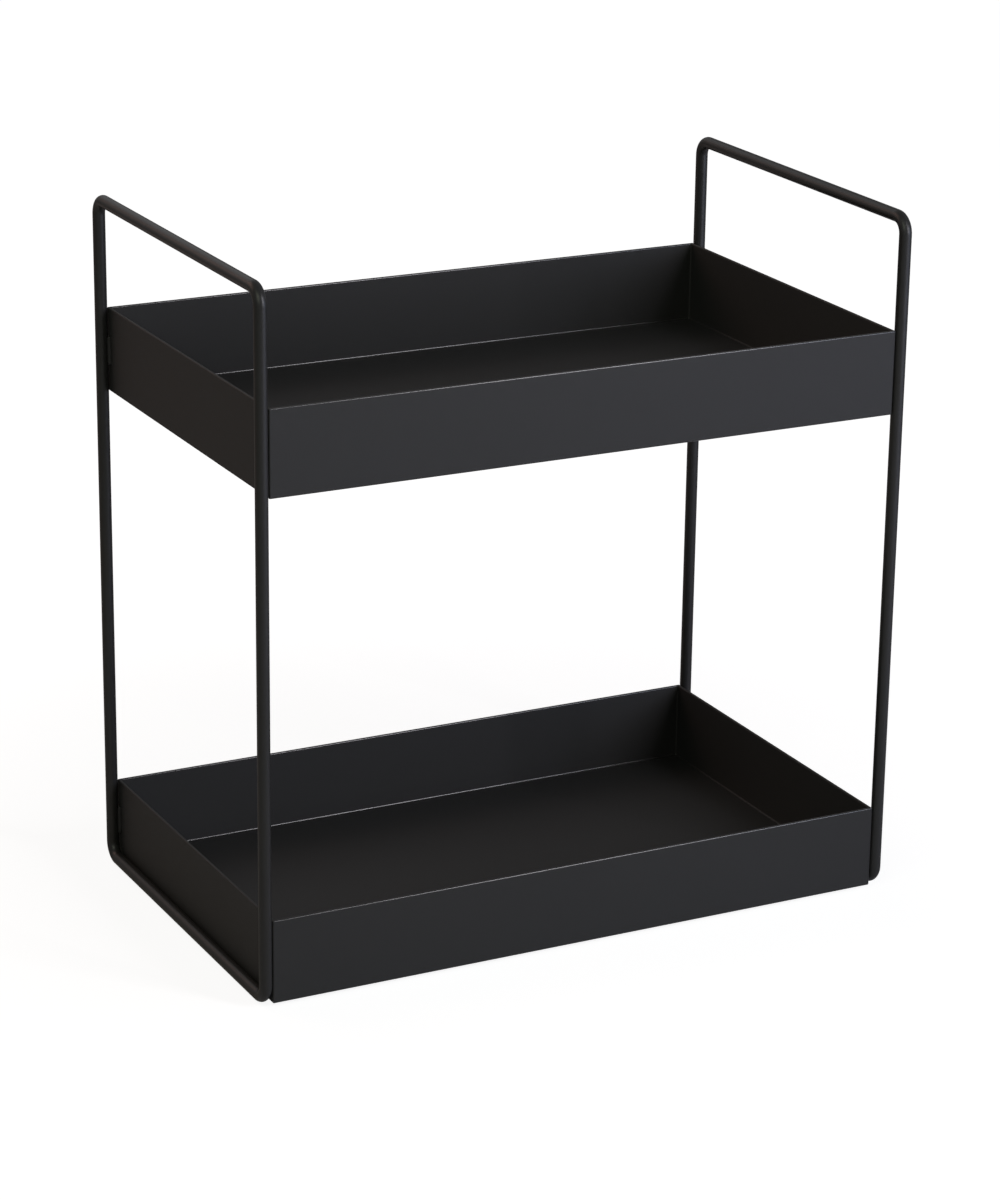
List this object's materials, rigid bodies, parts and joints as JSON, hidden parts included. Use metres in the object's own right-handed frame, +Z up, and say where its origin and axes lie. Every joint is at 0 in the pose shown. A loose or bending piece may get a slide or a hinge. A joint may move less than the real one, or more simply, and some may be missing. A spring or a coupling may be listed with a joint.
{
  "type": "two-tier countertop organizer",
  "caption": "Tiered open organizer: shallow rectangular sheet trays held one above the other by closed loops of round rod at both ends, whose top bars are the carrying handles.",
  "frame": {"origin": "centre of the footprint, on the surface that the pads stand on", "axes": "+X along the trays from the left loop to the right loop, +Y towards the back, +Z up"},
  "size_m": [0.3326, 0.196, 0.3403],
  "materials": {
    "tray_coat": "satin black powder coat on sheet steel",
    "rod_coat": "satin black powder coat on round steel rod",
    "weld_coat": "black powder coat over a weld bead",
    "pad_rubber": "matte dark grey rubber"
  },
  "bodies": {
    "root": {"lower_tray": "tray_coat", "upper_tray": "tray_coat", "left_loop": "rod_coat", "right_loop": "rod_coat", "lower_front_left_weld": "weld_coat", "lower_back_left_weld": "weld_coat", "lower_front_right_weld": "weld_coat", "lower_back_right_weld": "weld_coat", "upper_front_left_weld": "weld_coat", "upper_back_left_weld": "weld_coat", "upper_front_right_weld": "weld_coat", "upper_back_right_weld": "weld_coat", "bottom_bar_front_left_weld": "weld_coat", "bottom_bar_back_left_weld": "weld_coat", "bottom_bar_front_right_weld": "weld_coat", "bottom_bar_back_right_weld": "weld_coat", "front_left_pad": "pad_rubber", "back_left_pad": "pad_rubber", "front_right_pad": "pad_rubber", "back_right_pad": "pad_rubber"}
  },
  "joints": []
}
